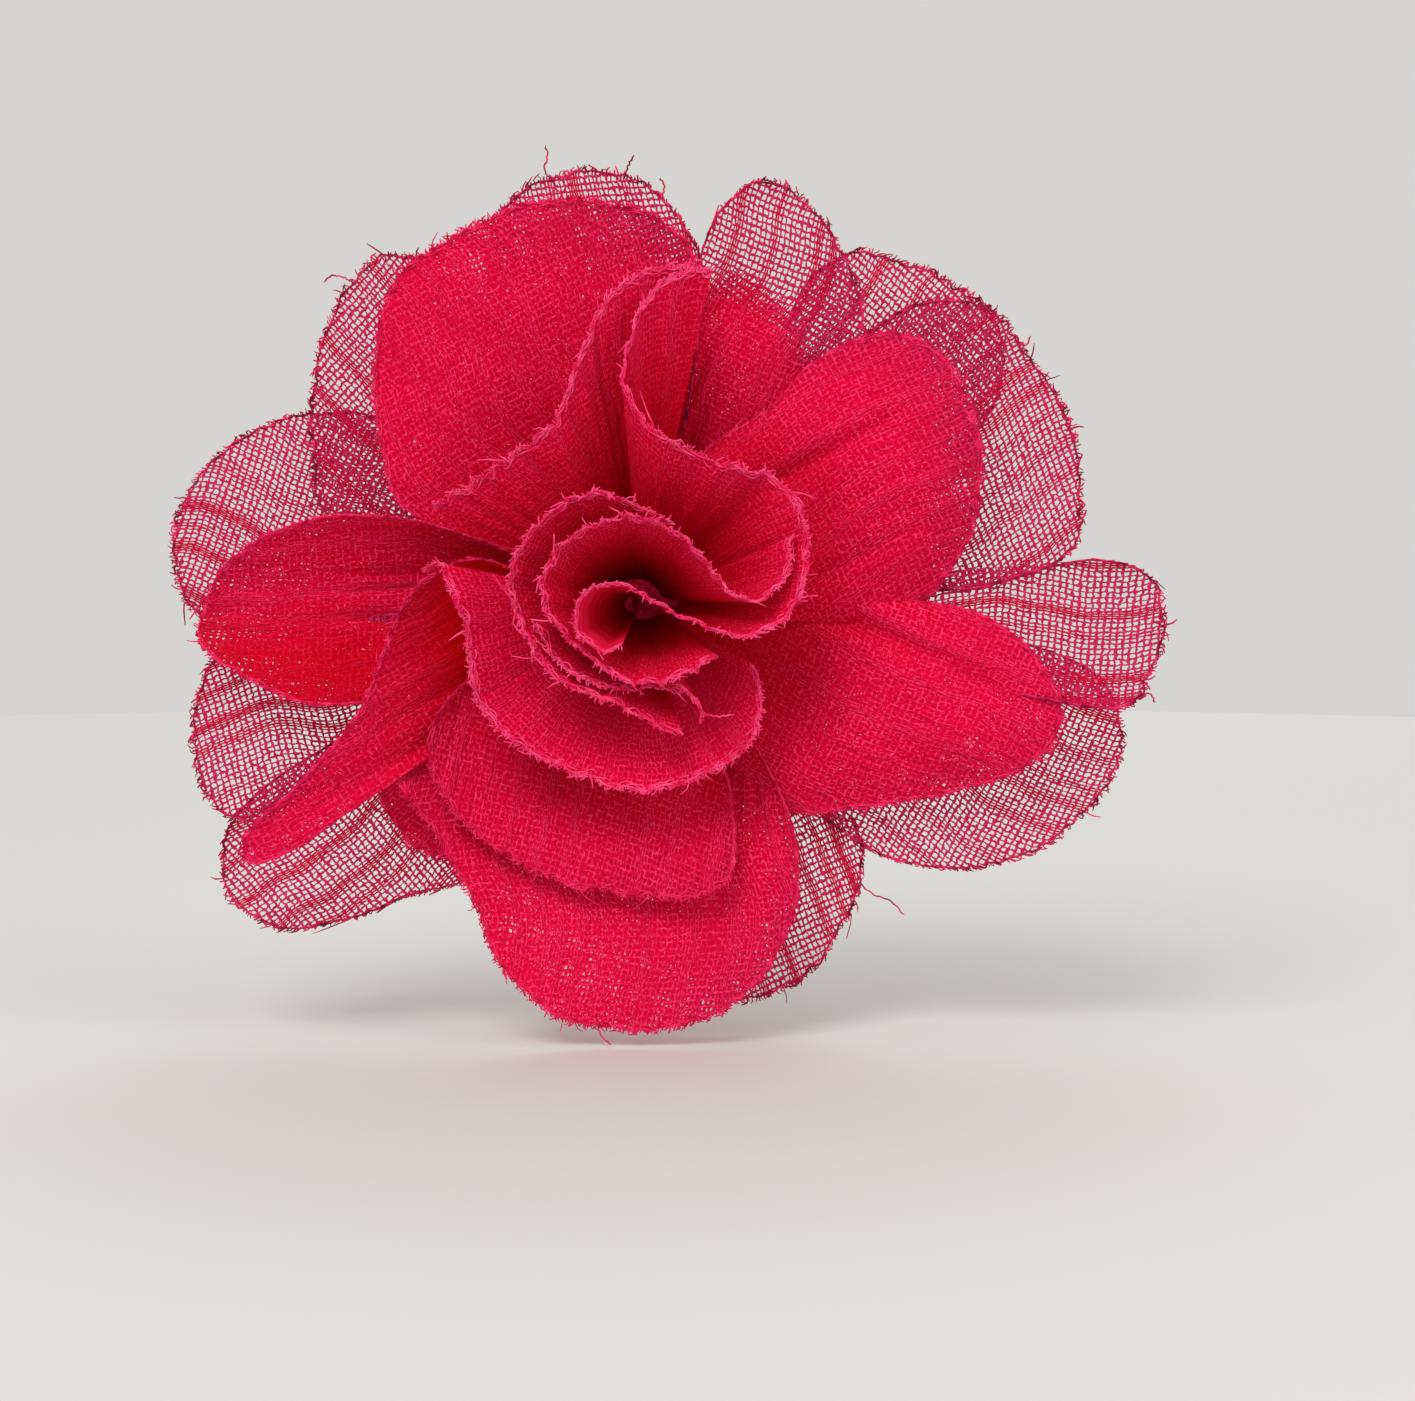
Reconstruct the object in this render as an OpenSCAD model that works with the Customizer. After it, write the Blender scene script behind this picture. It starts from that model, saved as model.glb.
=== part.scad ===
/* [Flower] */
// Radius that the outermost petal edge reaches
flower_r = 47.5; // [40:0.5:60]
// Height of the rose's rim above the felt
rose_h = 22; // [18:0.5:28]
// Radius of the rose's outermost collar
rose_r = 15.5; // [13:0.5:17]
// Number of height steps the petals are stacked in
petal_levels = 5; // [5:1:8]
// Thickness that a petal takes up
cloth_t = 0.7; // [0.4:0.05:0.8]
// Free height between one petal level and the next
cloth_gap = 0.4; // [0.3:0.05:0.6]
// Thickness of the rose's upright walls
wall_t = 0.5; // [0.3:0.05:0.55]

/* [Felt] */
// Radius of both felt rounds
felt_r = 19; // [18.5:0.5:24]
// Thickness of one felt round
felt_t = 1.2; // [0.8:0.1:2]
// Stitches round the felt's edge
felt_stitches_n = 20; // [8:1:28]

/* [Base plate] */
// Radius of the steel base plate
plate_r = 16; // [15.5:0.5:18]
// Thickness of the base plate
plate_t = 0.8; // [0.5:0.1:1.2]
// Radius of a sewing hole
sew_hole_r = 0.9; // [0.6:0.1:1.2]
// Diameter of the sewing thread
thread_d = 0.4; // [0.3:0.05:0.6]

/* [Clip] */
// Length of the clip's fixed jaw
clip_len = 45; // [40:1:52]
// Width across the moving jaw
jaw_w = 6.8; // [6:0.1:8]
// Thickness of the jaws' sheet
jaw_t = 0.8; // [0.5:0.1:1]
// Radius of the clip's hinge pin
clip_pin_r = 0.8; // [0.6:0.05:1]
// Height of the hinge pin's axis over the fixed jaw
clip_axis_h = 2.6; // [2.4:0.1:2.8]
// Diameter of the spring wire
spring_wire_d = 0.5; // [0.4:0.05:0.6]

/* [Brooch pin] */
// Distance of the brooch bar from the plate's middle
brooch_z = 9.5; // [9.3:0.1:10]
// Length of the brooch bar
bar_len = 26; // [25:0.5:28]
// Width of the brooch bar
bar_w = 4.5; // [4.2:0.1:5]
// Thickness of the brooch bar
bar_t = 0.7; // [0.5:0.1:1]
// Height of the needle's axis over the grip plane
needle_h = 5; // [5:0.1:6]
// Radius of the needle's wire
needle_r = 0.45; // [0.35:0.05:0.5]

/* [Fits] */
// Radial running clearance of a pin in its bore
pin_gap = 0.05; // [0.02:0.01:0.08]
// Free space between faces of bodies that move past each other
side_gap = 0.4; // [0.3:0.05:0.5]

/* [Hidden] */
$fn = 48;

// The grip plane, where the jaws meet, is y = 0. The flower faces -Y.
plate_back_y = -jaw_t;
plate_front_y = plate_back_y - plate_t;
felt_mid_y = plate_front_y - felt_t;
felt_front_y = felt_mid_y - felt_t;

// A petal is cut from a circle. Each row: name, direction in degrees, reach, radius of the cut circle,
// half its spread in degrees, level in the stack counted from the felt.
PETALS = [
    ["petal_top",                96, 39.5, 11.5, 24, 0],
    ["petal_top_right",          67, 40.5,  9.5, 18, 1],
    ["petal_upper_right",        49, 41.0, 11.0, 19, 0],
    ["petal_right_back",         23, 43.0, 14.0, 25, 1],
    ["petal_right_round",        28, 36.0, 12.5, 31, 4],
    ["petal_right_narrow",       -3, 47.5,  8.0, 12, 2],
    ["petal_lower_right_back",  -26, 46.0, 13.0, 23, 1],
    ["petal_lower_right",       -24, 40.0, 14.0, 33, 3],
    ["petal_bottom_right_back", -64, 38.5, 10.0, 19, 0],
    ["petal_bottom",            -87, 38.5, 13.5, 31, 2],
    ["petal_bottom_inner",      252, 27.0, 13.0, 38, 3],
    ["petal_bottom_left_under", 234, 30.0,  9.0, 20, 1],
    ["petal_bottom_left_back",  221, 46.5, 10.5, 17, 0],
    ["petal_lower_left_back",   197, 43.5,  9.5, 15, 1],
    ["petal_left_folded",       210, 40.5, 11.0, 26, 4],
    ["petal_left",              181, 41.0,  9.5, 16, 2],
    ["petal_left_back",         162, 43.5, 12.5, 21, 0],
    ["petal_upper_left_back",   140, 39.0, 12.5, 27, 1],
    ["petal_upper_left",        121, 38.0, 13.5, 30, 2]
];
// Reach that the petal rows are written for
rows_r = 47.5;
reach_k = flower_r / rows_r;
petal_root_r = 4;
first_gap = 0.4;
level_h = cloth_t + cloth_gap;
flat_slope = 0.1;
level_slope = 0.05;
petal_u = 12;
petal_v = 6;

// The rose's walls. Each row: name, height of its foot over the felt, then the rim's points as
// [x, z, height as a share of the rose's height].
ROSE = [
    ["rose_wing", 6.9, [
        [-18.2, 9.2, 0.64], [-14, 12.4, 0.68], [-9, 17.2, 0.72], [-4.4, 23.2, 0.74], [-1.2, 28.6, 0.72],
        [5, 31.4, 0.66]]],
    ["rose_scroll", 6.8, [
        [5, 27.4, 0.68], [1.4, 26, 0.74], [-0.6, 21, 0.8], [1.2, 16.6, 0.84], [4.8, 14.8, 0.86],
        [9.4, 13.2, 0.88], [13.2, 9.8, 0.9], [15.1, 5.4, 0.9], [14.2, 0.8, 0.9], [11, -2, 0.92],
        [6.4, -1.4, 0.94], [1.4, 1.2, 0.97], [-3.2, 2.2, 1], [-5.2, -0.2, 1], [-3.8, -3, 1],
        [-1.6, -3.4, 0.98]]],
    ["rose_inner_curl", 6.4, [
        [12.6, 4.9, 0.92], [9.6, 2.4, 0.93], [6, 4.4, 0.94], [0.6, 7.4, 0.96], [-3.8, 6.6, 0.97],
        [-7.1, 3, 0.97], [-7.3, -0.6, 0.97], [-5.2, -4.6, 0.96]]],
    ["rose_outer_curl", 6.1, [
        [0.4, 10.2, 0.88], [-5, 9.8, 0.9], [-10, 5.8, 0.92], [-11, 1, 0.92], [-9.4, -3.6, 0.92],
        [-5.2, -6.6, 0.91], [-1, -7, 0.9], [3.4, -6, 0.88], [6.8, -4.4, 0.86]]],
    ["rose_lower_lip", 6.4, [
        [-8.2, -7.4, 0.78], [-3.4, -9.6, 0.78], [0.6, -10.4, 0.78], [4, -11.4, 0.76], [6.4, -9.4, 0.74],
        [6, -7.2, 0.72]]],
    ["rose_collar", 6.9, [
        [-18.6, 3.6, 0.72], [-15, 0.4, 0.76], [-15.4, -4, 0.76], [-13.8, -8.8, 0.74], [-10.6, -12.6, 0.72],
        [-5.2, -15, 0.7], [0, -15.9, 0.7], [5.4, -15, 0.68], [9.6, -12.2, 0.66], [11.2, -8, 0.66],
        [10.4, -5, 0.68]]]
];
// Radius and height that the rose rows are written for
rose_rows_r = 15.5;
rose_k = rose_r / rose_rows_r;
foot_k = 0.42;

clip_tip_x = 20.5 - clip_len;
clip_tail_x = 24.5;
clip_x = 10;
ear_t = 0.6;
moving_ear_z = jaw_w / 2;
fixed_ear_z = moving_ear_z + side_gap;
fixed_w = 2 * (fixed_ear_z + ear_t);
clip_bore_r = clip_pin_r + pin_gap;
jaw_rise = clip_axis_h + 2.3;
sew_angles = [25, 160, 205, 250, 290, 335];
sew_inset = 2.6;
thread_x = -0.3;
tip_gap = 0.15;
tooth_n = 5;
rivet_r = 0.9;
rivet_head_h = 0.35;

hinge_x = 10.5;
catch_x = -10.4;
eye_r = 1.25;
needle_pin_r = 0.5;
needle_ear_z = 1.15;
barrel_bore_r = needle_r + 0.15;
barrel_r = barrel_bore_r + 0.75;
housing_bore_r = barrel_r + pin_gap;
housing_r = housing_bore_r + 0.55;
housing_len = 2.6;
flange_t = 0.45;
slot_w = 2 * needle_r + 0.3;
bar_face_y = plate_back_y + bar_t;

// A surface of points grid[i][j] given a thickness along offsets of the same shape, as one closed solid
function grid_faces(n, m) = let (s = (n + 1) * (m + 1)) concat(
    [for (i = [0:n - 1], j = [0:m - 1]) let (a = i * (m + 1) + j) [a, a + 1, a + m + 2, a + m + 1]],
    [for (i = [0:n - 1], j = [0:m - 1]) let (a = s + i * (m + 1) + j) [a, a + m + 1, a + m + 2, a + 1]],
    [for (i = [0:n - 1]) let (a = i * (m + 1)) [a, a + m + 1, s + a + m + 1, s + a]],
    [for (i = [0:n - 1]) let (a = i * (m + 1) + m) [a + m + 1, a, s + a, s + a + m + 1]],
    [for (j = [0:m - 1]) [j + 1, j, s + j, s + j + 1]],
    [for (j = [0:m - 1]) let (a = n * (m + 1) + j) [a, a + 1, s + a + 1, s + a]]
);

module sheet_solid(front, back) {
    n = len(front) - 1;
    m = len(front[0]) - 1;
    polyhedron(points = concat([for (row = front, p = row) p], [for (row = back, p = row) p]),
               faces = grid_faces(n, m), convexity = 4);
}

// Distance from the flower's middle to the edge of the petal's circle, t degrees off its own direction
function petal_edge(reach, cut_r, t) = let (d = reach - cut_r)
    d * cos(t) + sqrt(max(0, cut_r * cut_r - d * d * sin(t) * sin(t)));

module petal(index) {
    row = PETALS[index];
    reach = row[2] * reach_k;
    cut_r = row[3] * reach_k;
    slope = flat_slope + level_slope * row[5];
    base_h = first_gap + level_h * row[5];
    grid = [for (i = [0:petal_u])
        let (t = row[4] * (2 * i / petal_u - 1), edge = petal_edge(reach, cut_r, t))
            [for (j = [0:petal_v]) let (r = petal_root_r + (edge - petal_root_r) * j / petal_v)
                [r * cos(row[1] + t), r * sin(row[1] + t), base_h + slope * (r - petal_root_r)]]];
    sheet_solid([for (line = grid) [for (p = line) [p[0], felt_front_y - p[2] - cloth_t, p[1]]]],
                [for (line = grid) [for (p = line) [p[0], felt_front_y - p[2], p[1]]]]);
}

// A wall of the rose leans outward from its foot to its rim
function unit2(v) = v / norm(v);
module rose_wall(index) {
    row = ROSE[index];
    rim = row[2];
    last = len(rim) - 1;
    foot_h = row[1] + level_h * (petal_levels - 5);
    side = [for (i = [0:last]) let (a = rim[max(0, i - 1)], b = rim[min(last, i + 1)],
                                    d = unit2([b[0] - a[0], b[1] - a[1]])) [-d[1], d[0]] * wall_t / 2];
    levels = 3;
    function at(i, j, s) = let (q = j / levels, k = rose_k * (foot_k + (1 - foot_k) * q),
                                h = foot_h + (rim[i][2] * rose_h - foot_h) * q)
        [rim[i][0] * k + s * side[i][0], felt_front_y - h, rim[i][1] * k + s * side[i][1]];
    sheet_solid([for (i = [0:last]) [for (j = [0:levels]) at(i, j, 1)]],
                [for (i = [0:last]) [for (j = [0:levels]) at(i, j, -1)]]);
}

// A cylinder along Y from y0 to y1
module y_rod(x, z, r, y0, y1) {
    translate([x, y0, z]) rotate([-90, 0, 0]) cylinder(r = r, h = y1 - y0);
}

// A cylinder along X from x0 to x1
module x_rod(y, z, r, x0, x1) {
    translate([x0, y, z]) rotate([0, 90, 0]) cylinder(r = r, h = x1 - x0);
}

module rivet_hole_positions() {
    for (x = [-11, 3]) translate([x, 0, 0]) children();
}

module bar_hole_positions() {
    for (x = [-6, 6]) translate([x, 0, brooch_z]) children();
}

module sew_positions() {
    for (a = sew_angles) rotate([0, -a, 0]) translate([plate_r - sew_inset, 0, 0]) children();
}

module base_plate() {
    color("silver") difference() {
        y_rod(0, 0, plate_r, plate_front_y, plate_back_y);
        sew_positions() y_rod(0, 0, sew_hole_r, plate_front_y - 1, plate_back_y + 1);
        rivet_hole_positions() y_rod(0, 0, rivet_r, plate_front_y - 1, plate_back_y + 1);
        bar_hole_positions() y_rod(0, 0, rivet_r, plate_front_y - 1, plate_back_y + 1);
    }
}

module clip_fixed_ear(z0) {
    translate([clip_x, 0, z0]) linear_extrude(ear_t) difference() {
        union() {
            translate([0, clip_axis_h]) circle(r = clip_pin_r + 1.1);
            polygon([[-3.4, -jaw_t / 2], [3.4, -jaw_t / 2], [clip_pin_r + 1, clip_axis_h],
                     [-clip_pin_r - 1, clip_axis_h]]);
        }
        translate([0, clip_axis_h]) circle(r = clip_bore_r);
    }
}

module clip_fixed_jaw() {
    end_r = fixed_w / 2;
    color("silver") difference() {
        union() {
            translate([clip_tip_x, -jaw_t, -jaw_w / 2]) cube([clip_x - clip_tip_x, jaw_t, jaw_w]);
            translate([clip_x - 5, -jaw_t, -end_r])
                cube([clip_tail_x - end_r - clip_x + 5, jaw_t, fixed_w]);
            y_rod(clip_tail_x - end_r, 0, end_r, -jaw_t, 0);
            clip_fixed_ear(fixed_ear_z);
            clip_fixed_ear(-fixed_ear_z - ear_t);
        }
        rivet_hole_positions() y_rod(0, 0, rivet_r, -jaw_t - 1, 1);
    }
}

// Underside of the moving jaw from the toothed tip to the finger tail
jaw_line = [[clip_tip_x, 1.1], [clip_tip_x + 4, 1.7], [clip_tip_x + 12, 3.3],
            [clip_tip_x + 22, jaw_rise - 0.5], [clip_x - 1, jaw_rise], [clip_x + 5, jaw_rise + 0.9],
            [clip_x + 10, jaw_rise + 3], [clip_tail_x, jaw_rise + 5.2]];

module clip_moving_ear(z0) {
    translate([clip_x, 0, z0]) linear_extrude(ear_t) difference() {
        union() {
            translate([0, clip_axis_h]) circle(r = clip_pin_r + 0.9);
            polygon([[-clip_pin_r - 0.9, clip_axis_h], [clip_pin_r + 0.9, clip_axis_h],
                     [3.6, jaw_rise + 0.8], [-4.4, jaw_rise + 0.1]]);
        }
        translate([0, clip_axis_h]) circle(r = clip_bore_r);
    }
}

module clip_moving_jaw() {
    lip_w = 0.8;
    pitch = jaw_w / tooth_n;
    color("silver") difference() {
        union() {
            translate([0, 0, -jaw_w / 2]) linear_extrude(jaw_w)
                polygon(concat(jaw_line, [for (i = [len(jaw_line) - 1:-1:0]) jaw_line[i] + [0, jaw_t]]));
            translate([clip_tip_x, tip_gap, -jaw_w / 2]) cube([lip_w, 1.1 + jaw_t - tip_gap, jaw_w]);
            clip_moving_ear(moving_ear_z - ear_t);
            clip_moving_ear(-moving_ear_z);
        }
        // Notches between the teeth
        for (i = [1:tooth_n - 1])
            translate([clip_tip_x - 1, 0, -jaw_w / 2 + i * pitch]) rotate([90, 0, 90])
                linear_extrude(lip_w + 2)
                    polygon([[-1, tip_gap - 0.6], [1, tip_gap - 0.6], [0, 0.9]] * 0.6);
    }
}

module clip_hinge_pin() {
    reach_z = fixed_ear_z + ear_t;
    head_h = 0.5;
    color("silver") {
        translate([clip_x, clip_axis_h, -reach_z - head_h])
            cylinder(r = clip_pin_r, h = 2 * (reach_z + head_h));
        for (z = [-reach_z - pin_gap - head_h, reach_z + pin_gap])
            translate([clip_x, clip_axis_h, z]) cylinder(r = clip_pin_r + 0.6, h = head_h);
    }
}

// Torsion spring round the hinge pin, with one leg on each jaw's tail
module clip_spring() {
    coil_r = clip_pin_r + 0.2 + spring_wire_d / 2;
    pitch = spring_wire_d * 0.94;
    turns = floor((jaw_w - 2 * ear_t - 1) / pitch);
    leg = 8;
    leg_share = 0.88;
    color("gray") {
        translate([clip_x, clip_axis_h, 0]) rotate_extrude() for (i = [0:turns - 1])
            translate([coil_r, (i - (turns - 1) / 2) * pitch]) circle(d = spring_wire_d, $fn = 24);
        for (side = [-1, 1])
            translate([clip_x, clip_axis_h + side * coil_r, side * (turns - 1) / 2 * pitch])
                rotate([0, 0, side > 0 ? 12 : -2]) rotate([0, 90, 0])
                    cylinder(d = leg_share * spring_wire_d, h = leg, $fn = 24);
    }
}

module clip_rivets() {
    color("silver") rivet_hole_positions() {
        y_rod(0, 0, rivet_r, plate_front_y, 0);
        y_rod(0, 0, rivet_r + 0.5, 0, rivet_head_h);
    }
}

module brooch_ear(z0) {
    translate([hinge_x, 0, z0]) linear_extrude(ear_t) difference() {
        union() {
            translate([0, needle_h]) circle(r = eye_r);
            translate([-eye_r, bar_face_y - bar_t / 2])
                square([2 * eye_r, needle_h - bar_face_y + bar_t / 2]);
        }
        translate([0, needle_h]) circle(r = needle_pin_r + pin_gap);
    }
}

// A ring along X at the catch, open towards +Y
module slotted_tube(x0, x1, outer_r, bore_r, opening_w) {
    difference() {
        x_rod(needle_h, brooch_z, outer_r, x0, x1);
        x_rod(needle_h, brooch_z, bore_r, x0 - 1, x1 + 1);
        translate([x0 - 1, needle_h, brooch_z - opening_w / 2])
            cube([x1 - x0 + 2, outer_r + 1, opening_w]);
    }
}

module brooch_bar() {
    end_r = bar_w / 2;
    end_x = bar_len / 2 - end_r;
    post_w = 1;
    post_h = needle_h - housing_bore_r - 0.2 - bar_face_y + bar_t / 2;
    color("silver") difference() {
        union() {
            translate([-end_x, plate_back_y, brooch_z - end_r]) cube([2 * end_x, bar_t, bar_w]);
            for (x = [-end_x, end_x]) y_rod(x, brooch_z, end_r, plate_back_y, bar_face_y);
            translate([0, 0, brooch_z]) {
                brooch_ear(needle_ear_z);
                brooch_ear(-needle_ear_z - ear_t);
            }
            translate([catch_x - housing_len / 2, bar_face_y - bar_t / 2, brooch_z - post_w / 2])
                cube([housing_len, post_h, post_w]);
            slotted_tube(catch_x - housing_len / 2, catch_x + housing_len / 2, housing_r,
                         housing_bore_r, slot_w);
        }
        bar_hole_positions() y_rod(0, 0, rivet_r, plate_back_y - 1, bar_face_y + 1);
    }
}

module brooch_bar_rivets() {
    color("silver") bar_hole_positions() {
        y_rod(0, 0, rivet_r, plate_front_y, bar_face_y);
        y_rod(0, 0, rivet_r + 0.4, bar_face_y, bar_face_y + rivet_head_h / 2);
    }
}

module brooch_needle() {
    tip_x = catch_x - 3.8;
    cone_len = 2;
    eye_w = 2 * (needle_ear_z - side_gap / 2);
    color("lightgray") difference() {
        union() {
            translate([hinge_x, needle_h, brooch_z - eye_w / 2]) cylinder(r = eye_r - 0.1, h = eye_w);
            x_rod(needle_h, brooch_z, needle_r, tip_x + cone_len, hinge_x);
            translate([tip_x + cone_len, needle_h, brooch_z]) rotate([0, -90, 0])
                cylinder(r1 = needle_r, r2 = 0.05, h = cone_len);
        }
        translate([hinge_x, needle_h, brooch_z - eye_w])
            cylinder(r = needle_pin_r + pin_gap, h = 2 * eye_w);
    }
}

module brooch_needle_rivet() {
    half_len = needle_ear_z + ear_t;
    head_h = 0.4;
    color("silver") translate([hinge_x, needle_h, brooch_z]) {
        translate([0, 0, -half_len - head_h]) cylinder(r = needle_pin_r, h = 2 * (half_len + head_h));
        for (z = [-half_len - pin_gap - head_h, half_len + pin_gap])
            translate([0, 0, z]) cylinder(r = needle_pin_r + 0.35, h = head_h);
    }
}

// Slotted sleeve that turns in the catch to shut the needle in
module brooch_catch_barrel() {
    x0 = catch_x - housing_len / 2 - pin_gap - flange_t;
    x1 = catch_x + housing_len / 2 + pin_gap + flange_t;
    tab_len = 1.5;
    color("lightgray") {
        slotted_tube(x0, x1, barrel_r, barrel_bore_r, slot_w);
        slotted_tube(x0, x0 + flange_t, housing_r, barrel_bore_r, slot_w);
        slotted_tube(x1 - flange_t, x1, housing_r, barrel_bore_r, slot_w);
        translate([x0, needle_h - 0.4, brooch_z + barrel_r])
            cube([flange_t, 0.8, housing_r - barrel_r + tab_len]);
    }
}

module felt_back() {
    color("darkred") y_rod(0, 0, felt_r, felt_mid_y, plate_front_y);
}

module felt_front() {
    color("darkred") difference() {
        y_rod(0, 0, felt_r, felt_front_y, felt_mid_y);
        y_rod(thread_x, 0, thread_d / 2 + pin_gap, felt_front_y - 1, felt_mid_y);
    }
}

// Whip stitches that hold the two felt rounds together at their edge
module felt_stitches() {
    r = thread_d / 2;
    bite = 1.6;
    y_back = plate_front_y + r;
    y_front = felt_front_y - r;
    color("crimson") for (i = [0:felt_stitches_n - 1]) rotate([0, i * 360 / felt_stitches_n, 0]) {
        x_rod(y_back, 0, r, felt_r - bite, felt_r + r);
        x_rod(y_front, 0, r, felt_r - bite, felt_r + r);
        y_rod(felt_r + r, 0, r, y_front, y_back);
        for (y = [y_back, y_front]) translate([felt_r + r, y, 0]) sphere(r = r, $fn = 16);
    }
}

// Stitches from the plate's sewing holes over its edge to the felt
module plate_stitches() {
    r = thread_d / 2;
    span = sew_inset + 1;
    y_top = plate_back_y + r;
    color("crimson") sew_positions() {
        x_rod(y_top, 0, r, 0, span);
        for (x = [0, span]) {
            y_rod(x, 0, r, plate_front_y, y_top);
            translate([x, y_top, 0]) sphere(r = r, $fn = 16);
        }
    }
}

// Thread up through the front felt and the petals' points, knotted in the rose's heart
module centre_thread() {
    knot_h = 6.4 + level_h * (petal_levels - 5);
    color("crimson") {
        y_rod(thread_x, 0, thread_d / 2, felt_front_y - knot_h, felt_mid_y);
        translate([thread_x, felt_front_y - knot_h, 0]) sphere(r = thread_d, $fn = 24);
    }
}

module petal_node(name) {
    color("crimson") petal(search([name], PETALS)[0]);
}

module rose_node(name) {
    color("crimson") rose_wall(search([name], ROSE)[0]);
}

base_plate();
clip_fixed_jaw();
clip_moving_jaw();
clip_hinge_pin();
clip_spring();
clip_rivets();
brooch_bar();
brooch_bar_rivets();
brooch_needle();
brooch_needle_rivet();
brooch_catch_barrel();
felt_back();
felt_front();
felt_stitches();
plate_stitches();
centre_thread();
petal_node("petal_top");  // petal_top
petal_node("petal_top_right");  // petal_top_right
petal_node("petal_upper_right");  // petal_upper_right
petal_node("petal_right_back");  // petal_right_back
petal_node("petal_right_round");  // petal_right_round
petal_node("petal_right_narrow");  // petal_right_narrow
petal_node("petal_lower_right_back");  // petal_lower_right_back
petal_node("petal_lower_right");  // petal_lower_right
petal_node("petal_bottom_right_back");  // petal_bottom_right_back
petal_node("petal_bottom");  // petal_bottom
petal_node("petal_bottom_inner");  // petal_bottom_inner
petal_node("petal_bottom_left_under");  // petal_bottom_left_under
petal_node("petal_bottom_left_back");  // petal_bottom_left_back
petal_node("petal_lower_left_back");  // petal_lower_left_back
petal_node("petal_left_folded");  // petal_left_folded
petal_node("petal_left");  // petal_left
petal_node("petal_left_back");  // petal_left_back
petal_node("petal_upper_left_back");  // petal_upper_left_back
petal_node("petal_upper_left");  // petal_upper_left
rose_node("rose_wing");  // rose_wing
rose_node("rose_scroll");  // rose_scroll
rose_node("rose_outer_curl");  // rose_outer_curl
rose_node("rose_inner_curl");  // rose_inner_curl
rose_node("rose_lower_lip");  // rose_lower_lip
rose_node("rose_collar");  // rose_collar
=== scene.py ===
import math

import bpy
import numpy as np
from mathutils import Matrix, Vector


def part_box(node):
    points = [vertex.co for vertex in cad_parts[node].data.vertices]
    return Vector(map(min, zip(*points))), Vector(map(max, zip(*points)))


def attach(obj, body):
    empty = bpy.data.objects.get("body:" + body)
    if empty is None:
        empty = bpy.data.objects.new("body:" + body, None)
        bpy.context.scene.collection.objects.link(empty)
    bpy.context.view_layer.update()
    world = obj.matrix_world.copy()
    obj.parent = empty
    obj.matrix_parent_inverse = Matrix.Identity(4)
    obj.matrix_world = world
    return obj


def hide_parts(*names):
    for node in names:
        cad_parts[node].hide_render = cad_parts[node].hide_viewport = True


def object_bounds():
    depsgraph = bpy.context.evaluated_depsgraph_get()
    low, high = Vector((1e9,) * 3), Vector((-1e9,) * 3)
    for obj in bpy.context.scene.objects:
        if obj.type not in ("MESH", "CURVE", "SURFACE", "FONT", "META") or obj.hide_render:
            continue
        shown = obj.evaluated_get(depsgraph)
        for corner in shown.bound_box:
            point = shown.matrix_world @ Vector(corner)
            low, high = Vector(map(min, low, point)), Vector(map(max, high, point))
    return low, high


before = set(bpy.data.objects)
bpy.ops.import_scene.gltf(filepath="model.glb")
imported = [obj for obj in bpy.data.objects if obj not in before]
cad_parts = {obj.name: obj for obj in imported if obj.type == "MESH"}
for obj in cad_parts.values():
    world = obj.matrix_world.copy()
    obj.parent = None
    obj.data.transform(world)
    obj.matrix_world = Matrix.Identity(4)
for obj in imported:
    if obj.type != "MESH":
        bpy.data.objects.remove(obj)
cad_low, cad_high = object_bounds()

MM = 0.001
BODY = "flower"

# ---------------------------------------------------------------- sizes, in millimetres as in the CAD
FELT_FRONT_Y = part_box("felt_front")[0][1] / MM
WARP_PITCH, WEFT_PITCH = 0.43, 0.60
PETAL_ROOT_R = 4.0
PETAL_ROOT_SPREAD = 0.9
PETAL_GRID = (171, 91)
WALL_GRID = (181, 61)
FIRST_GAP = 0.35
ROOT_LEVEL_H, OPEN_LEVEL_H = 0.5, 1.1
FLAT_SLOPE, LEVEL_SLOPE = 0.1, 0.05
ROSE_H = 22.0
FOOT_K = 0.26
FOOT_DROP = 3.4

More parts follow.
